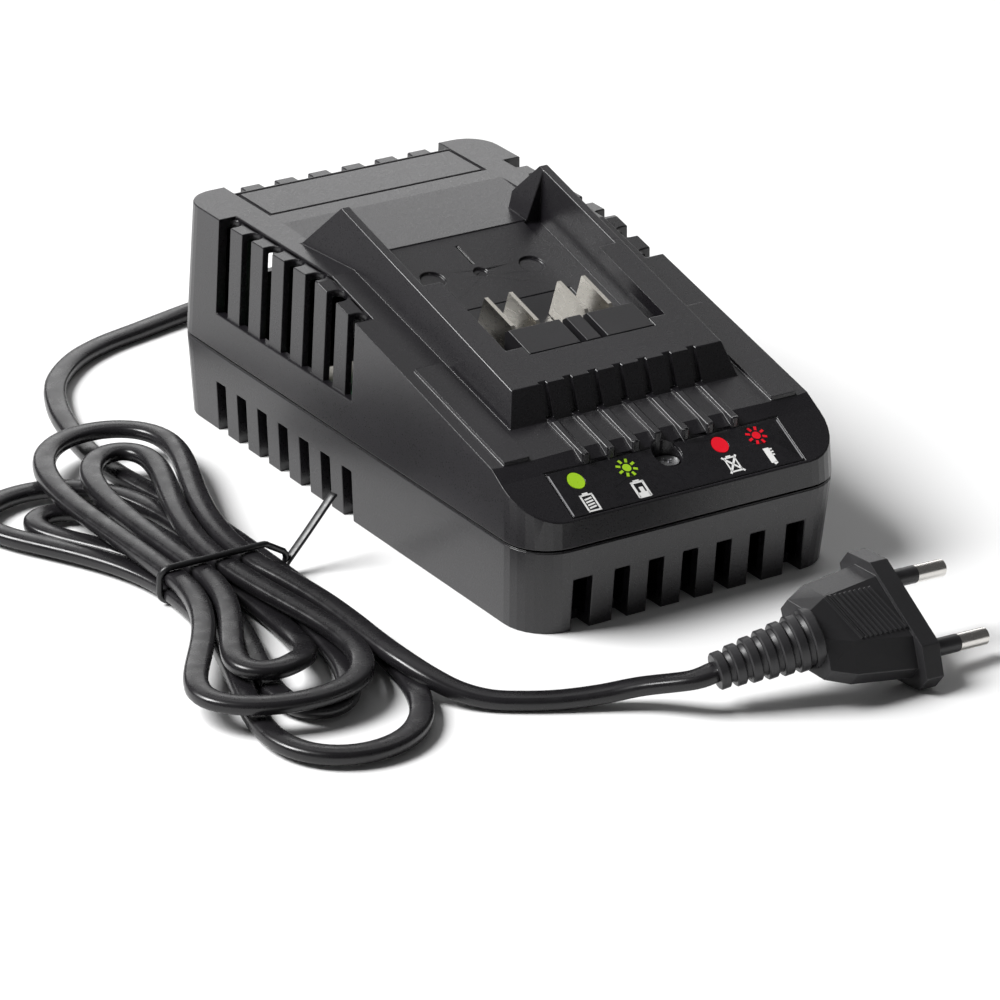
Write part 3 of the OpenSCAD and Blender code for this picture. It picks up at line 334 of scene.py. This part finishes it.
def hankPoint(phase):
    turn = min(floor(phase), 3)
    t = phase - turn
    front = t < 0.5
    q = 2 * t if front else 2 * t - 1
    side = -1 if front else 1
    swell = sin(pi * q)
    reach = hank["frontReach" if front else "backReach"][turn]
    half = hank["frontHalf" if front else "backHalf"][turn]
    if front:
        slot = ease(hank["nearSlot"][turn], hank["farSlot"][turn], q)
        way = radians(-90 - hank["frontTurn"][turn] * swell)
    else:
        slot = ease(hank["farSlot"][turn], hank["nearSlot"][turn + 1], q)
        way = radians(90 + hank["backTurn"][turn] * swell)
    widen = hank["bulge"] * (half - hank["bulgeSlot"] * slot) * swell * swell
    aside = side * cos(pi * q) * (slot + widen)
    climb = hank["climb"]
    return Vector((
        hank["middle"][0] + reach * swell * cos(way) - aside * side * sin(way),
        hank["middle"][1] + reach * swell * sin(way) + aside * side * cos(way),
        ease(hank["low"], hank["high"], (phase - climb[0]) / (climb[1] - climb[0])),
    ))


# one smooth curve through all the points
def smoothRoute(points, steps):
    route = []
    for i in range(len(points) - 1):
        a, b = points[max(i - 1, 0)], points[i]
        c, d = points[i + 1], points[min(i + 2, len(points) - 1)]
        for k in range(steps):
            t = k / steps
            route.append(0.5 * (2 * b + (c - a) * t + (2 * a - 5 * b + 4 * c - d) * t * t
                                + (3 * b - 3 * c + d - a) * t ** 3))
    return route + [points[-1]]


lie = 0.00175  # height of a cord's middle when it lies on the floor
bootWay = Vector((cos(radians(plugPose["bootHeading"])) * cos(radians(plugPose["bootPitch"])),
                  sin(radians(plugPose["bootHeading"])) * cos(radians(plugPose["bootPitch"])),
                  -sin(radians(plugPose["bootPitch"]))))
bootEnd = Vector(plugPose["joint"]) - plugPose["reliefLength"] * bootWay
hankIn, hankOut = hankPoint(0), hankPoint(4)
outRoute = [Vector(p) for p in [
    (gland["x"], gland["tipY"], gland["z"]), (0.0052, 0.1075, 0.0106), (0.0015, 0.114, 0.0076),
    (-0.006, 0.1183, 0.0042), (-0.016, 0.1194, 0.0022), (-0.03, 0.1164, lie),
    (-0.043, 0.1128, lie), (-0.054, 0.107, lie), (-0.064, 0.097, lie),
    (-0.0706, 0.084, lie), (-0.0746, 0.07, lie), (-0.0768, 0.056, lie),
    (-0.0768, 0.043, lie), (-0.0749, 0.03, lie), (-0.0732, 0.017, 0.00195),
    (-0.0728, 0.004, 0.00235), (-0.0729, -0.007, 0.00255), (-0.073, -0.0136, 0.00255),
]] + [hankIn]
inRoute = [hankOut] + [Vector(p) for p in [
    (-0.0794, -0.0244, 0.0066), (-0.078, -0.034, 0.0066), (-0.077, -0.046, 0.0066),
    (-0.077, -0.058, 0.0066), (-0.0775, -0.069, 0.0066), (-0.0772, -0.0785, 0.0063),
    (-0.0752, -0.0865, 0.005), (-0.0716, -0.0926, 0.0032), (-0.0668, -0.0974, 0.0021),
    (-0.061, -0.1013, 0.0019), (-0.054, -0.1052, 0.0021), (-0.0464, -0.109, 0.003),
    (-0.0389, -0.1134, 0.0049),
]]
inRoute += [bootEnd - cord["width"] * bootWay, bootEnd]


def fuller(share):
    return (1 if share > 0 else -1) * abs(share) ** cord["roundness"]


def flatRing(centre, way, width, thick, sides):
    aside = Vector((0, 0, 1)).cross(way).normalized()
    up = way.cross(aside)
    ring = []
    for j in range(sides):
        turn = 2 * pi * j / sides
        ring.append(centre + aside * (width / 2 * fuller(cos(turn))) + up * (thick / 2 * fuller(sin(turn))))
    return ring


def sweep(route, ways, width, thick, sides):
    corners, faces = [], []
    for centre, way in zip(route, ways):
        corners += flatRing(centre, way, width, thick, sides)
    for i in range(len(route) - 1):
        for j in range(sides):
            k = (j + 1) % sides
            faces.append((i * sides + j, i * sides + k, (i + 1) * sides + k, (i + 1) * sides + j))
    faces.append(tuple(range(sides)))
    faces.append(tuple(range((len(route) - 1) * sides, len(route) * sides)))
    return corners, faces


def waysAlong(route, first, last):
    ways = [first]
    for i in range(1, len(route) - 1):
        ways.append((route[i + 1] - route[i - 1]).normalized())
    return ways + [last]


def makeCord():
    start = [Vector((gland["x"], y, gland["z"])) for y in gland["leadY"]]
    rings = cord["loopRings"]
    coil = [hankPoint(i / rings) for i in range(1, 4 * rings)]
    route = start + smoothRoute(outRoute, cord["steps"]) + coil + smoothRoute(inRoute, cord["steps"])
    ways = waysAlong(route, Vector((0, 1, 0)), bootWay)
    corners, faces = sweep(route, ways, cord["width"], cord["thick"], cord["sides"])
    piece = newPiece("mainsCord", corners, faces, "cord_jacket")
    piece.data.set_sharp_from_angle(angle=radians(cord["sharp"]))
    finishPiece(piece, "cord_jacket", "cord_from_housing", "cord_hank", "cord_to_plug")
    length = sum((route[i + 1] - route[i]).length for i in range(len(route) - 1))
    print("cord length", round(length, 4))
    return piece, route, length


mainsCord, cordRoute, cordLength = makeCord()
print("cord is laid")


rounding = {"weld": 0.00002, "segments": 2, "limit": 28}  # limit in degrees


def roundEdges(piece, width):
    weld = piece.modifiers.new("weld", "WELD")
    weld.merge_threshold = rounding["weld"]
    bevel = piece.modifiers.new("round", "BEVEL")
    bevel.width = width
    bevel.segments = rounding["segments"]
    bevel.limit_method = "ANGLE"
    bevel.angle_limit = radians(rounding["limit"])
    bevel.use_clamp_overlap = False
    bevel.harden_normals = True


edges = {
    "upper_housing": 0.0003,
    "lower_housing": 0.0003,
    "contact_carrier": 0.0002,
    "indicator_panel": 0.0001,
    "plug_body": 0.0002,
    "cord_relief": 0.0003,
}


def dressNodes():
    slots = {s["node"]: s["material_slot"] for s in frame["record"]["subparts"]}
    for name, node in nodes.items():
        node.data.materials.clear()
        node.data.materials.append(finishes[slots[name]])
        if name in edges:
            roundEdges(node, edges[name])


dressNodes()
print("shells and inner parts are dressed")

tie = {
    "thick": 0.0015,
    "y": -0.019,
    "left": -0.1019,  # outer cords at the waist
    "right": -0.0695,
    "topRight": -0.0762,
    "low": 0.0009,
    "high": 0.0091,
    "corner": 0.0024,
    "foot": 0.0008,  # how far the right side stands above the left
    "sway": 0.0004,
    "sides": 10,
    "end": [  # free end, beside the bundle
        (-0.0704, -0.0190, 0.0021), (-0.0688, -0.0187, 0.0037), (-0.0640, -0.0178, 0.0080),
        (-0.0590, -0.0168, 0.0126), (-0.0562, -0.0161, 0.0150), (-0.0556, -0.0159, 0.0152)],
    "endWidth": 0.0022,
    "endThick": 0.0009,
    "endSteps": 4,
    "endSides": 12,
}


def arc(centre, radius, start, end, steps=6):
    points = []
    for i in range(steps + 1):
        turn = radians(start + (end - start) * i / steps)
        points.append(Vector((centre[0] + radius * cos(turn), 0, centre[1] + radius * sin(turn))))
    return points


def makeTie():
    r = tie["corner"]
    left, right, low, high = tie["left"], tie["right"], tie["low"], tie["high"]
    loop = arc((left + r, low + r), r, 270, 180) + arc((left + r, high - r), r, 180, 90)
    loop += arc((tie["topRight"], high - r), r, 90, 45) + arc((right - r, low + r + tie["foot"]), r, 45, -90)
    loop = [p + Vector((0, tie["y"] + tie["sway"] * sin(i / 3), 0)) for i, p in enumerate(loop)]
    sides = tie["sides"]
    corners, faces = [], []
    for i, p in enumerate(loop):
        way = (loop[(i + 1) % len(loop)] - loop[i - 1]).normalized()
        aside = way.cross(Vector((0, 1, 0))).normalized()
        up = way.cross(aside)
        for j in range(sides):
            turn = 2 * pi * j / sides
            corners.append(p + tie["thick"] / 2 * (cos(turn) * aside + sin(turn) * up))
    for i in range(len(loop)):
        k = (i + 1) % len(loop)
        for j in range(sides):
            m = (j + 1) % sides
            faces.append((i * sides + j, i * sides + m, k * sides + m, k * sides + j))
    end = smoothRoute([Vector(p) for p in tie["end"]], tie["endSteps"])
    ways = waysAlong(end, (end[1] - end[0]).normalized(), (end[-1] - end[-2]).normalized())
    first = len(corners)
    endCorners, endFaces = sweep(end, ways, tie["endWidth"], tie["endThick"], tie["endSides"])
    corners += endCorners
    faces += [tuple(first + i for i in face) for face in endFaces]
    return finishPiece(newPiece("hankTie", corners, faces, "tie_rubber"), "tie_rubber", "hank_tie")


hankTie = makeTie()
print("hank is tied")

label = {
    "slope": 27.5,
    "front": (-0.075768, 0.0268),  # y and height of the panel's front edge
    "rise": 0.5207,
    "sunk": -0.0001,  # where the print starts, in the film
    "lift": 0.00008,  # and how far it stands up
    "lampY": -0.066768,
    "bursts": {"green_lens": -0.0116, "red_lens": 0.0234},
    "coverRadius": 0.00225,
    "coverHeights": (-0.0002, 0.00005),
    "spotRadius": 0.00105,
    "rays": 8,
    "rayStart": 0.0015,
    "rayEnd": 0.00255,
    "rayWidth": 0.00062,
    "burstTop": 0.00012,
    # the edge strips are a painted highlight standing for light on the recess edges
    "edgeX": 0.0307,
    "edgeY": (-0.0747, -0.0643),
    "edgeWidth": 0.00028,
    "edgeTop": 0.00006,
    "icons": [  # x, y and bars: two ends and a width, in millimetres on the slope
        (-0.025, -0.0724, [
            (-1.5, -2.4, -1.5, 2, 0.4), (1.5, -2.4, 1.5, 2, 0.4),
            (-1.7, -2.4, 1.7, -2.4, 0.4), (-1.7, 2, 1.7, 2, 0.4),
            (-0.7, 2.4, 0.7, 2.4, 0.5), (-0.95, -1.6, 0.95, -1.3, 0.42), (-0.95, -0.8, 0.95, -0.5, 0.42),
            (-0.95, 0, 0.95, 0.3, 0.42), (-0.95, 0.8, 0.95, 1.1, 0.42)]),
        (-0.0115, -0.0723, [
            (-1.45, -2.3, -1.45, 2, 0.55), (1.45, -2.3, 1.45, 2, 0.55), (-1.7, 1.9, 1.7, 1.9, 0.55),
            (-0.8, 2.3, 0.8, 2.3, 0.5), (-1.5, -1.7, 1.5, -1.7, 1.5), (0.15, -1, 0.15, 0.5, 1)]),
        (0.0135, -0.0719, [
            (-1.35, -2.1, -1.35, 1.8, 0.3), (1.35, -2.1, 1.35, 1.8, 0.3),
            (-1.35, 1.8, 1.35, 1.8, 0.4), (-1.35, -2.1, 1.35, -2.1, 0.4), (-0.6, 2.15, 0.6, 2.15, 0.45),
            (-1.9, 2.2, 1.9, -2.5, 0.5), (-1.9, -2.5, 1.9, 2.2, 0.5)]),
        (0.0235, -0.072, [
            (0, -2.3, 0, 2, 1.5), (0.6, 1.5, 1.4, 1.5, 0.4), (0.6, 0.7, 1.4, 0.7, 0.4),
            (0.6, -0.1, 1.3, -0.1, 0.4), (-0.2, -2.6, 0.7, -2.2, 0.7)]),
    ],
}


def panelPoint(x, y, u, v, lift):
    tilt = radians(label["slope"])
    height = label["front"][1] + (y - label["front"][0]) * label["rise"]
    return (Vector((x, y, height)) + Vector((u, v * cos(tilt), v * sin(tilt)))
            + lift * Vector((0, -sin(tilt), cos(tilt))))


def addPrism(corners, faces, x, y, outline, low, high):
    first, count = len(corners), len(outline)
    for lift in (low, high):
        corners += [panelPoint(x, y, u, v, lift) for u, v in outline]
    faces.append(tuple(first + i for i in range(count)))
    faces.append(tuple(first + count + i for i in range(count)))
    for i in range(count):
        k = (i + 1) % count
        faces.append((first + i, first + k, first + count + k, first + count + i))


def barOutline(u0, v0, u1, v1, width):
    way = Vector((u1 - u0, v1 - v0))
    aside = Vector((-way.y, way.x)).normalized() * width / 2
    return [(u0 + aside.x, v0 + aside.y), (u0 - aside.x, v0 - aside.y), (u1 - aside.x, v1 - aside.y),
            (u1 + aside.x, v1 + aside.y)]


def discOutline(radius, count=24):
    return [(radius * cos(2 * pi * i / count), radius * sin(2 * pi * i / count)) for i in range(count)]


def printIcons():
    corners, faces = [], []
    for x, y, bars in label["icons"]:
        for bar in bars:
            addPrism(corners, faces, x, y, barOutline(*[mm * b for b in bar]), label["sunk"], label["lift"])
    finishPiece(newPiece("labelIcons", corners, faces, "white_print", False), "white_print")


# film over a whole lens, with a spot and its rays standing on it
def printBursts():
    corners, faces = [], []
    y = label["lampY"]
    for x in label["bursts"].values():
        addPrism(corners, faces, x, y, discOutline(label["coverRadius"]), *label["coverHeights"])
    finishPiece(newPiece("burstCovers", corners, faces, "panel_film", False), "panel_film")
    for slot, x in label["bursts"].items():
        corners, faces = [], []
        addPrism(corners, faces, x, y, discOutline(label["spotRadius"]), label["sunk"], label["burstTop"])
        for i in range(label["rays"]):
            turn = pi * (i + 0.5) / (label["rays"] / 2)
            c, s = cos(turn), sin(turn)
            start, end = label["rayStart"], label["rayEnd"]
            ray = barOutline(start * c, start * s, end * c, end * s, label["rayWidth"])
            addPrism(corners, faces, x, y, ray, label["sunk"], label["burstTop"])
        finishPiece(newPiece(slot.replace("_lens", "Burst"), corners, faces, slot, False), slot)


# light grey strips along the panel's recess edges: a painted highlight standing for light on those edges
def paintEdgeHighlights():
    corners, faces = [], []
    y0, y1 = label["edgeY"]
    line = barOutline(0, 0, 0, (y1 - y0) / cos(radians(label["slope"])), label["edgeWidth"])
    for side in (-1, 1):
        addPrism(corners, faces, side * label["edgeX"], y0, line, label["sunk"], label["edgeTop"])
    finishPiece(newPiece("panelEdgeHighlights", corners, faces, "pale_line", False), "pale_line")


printIcons()
printBursts()
paintEdgeHighlights()
print("label is printed")
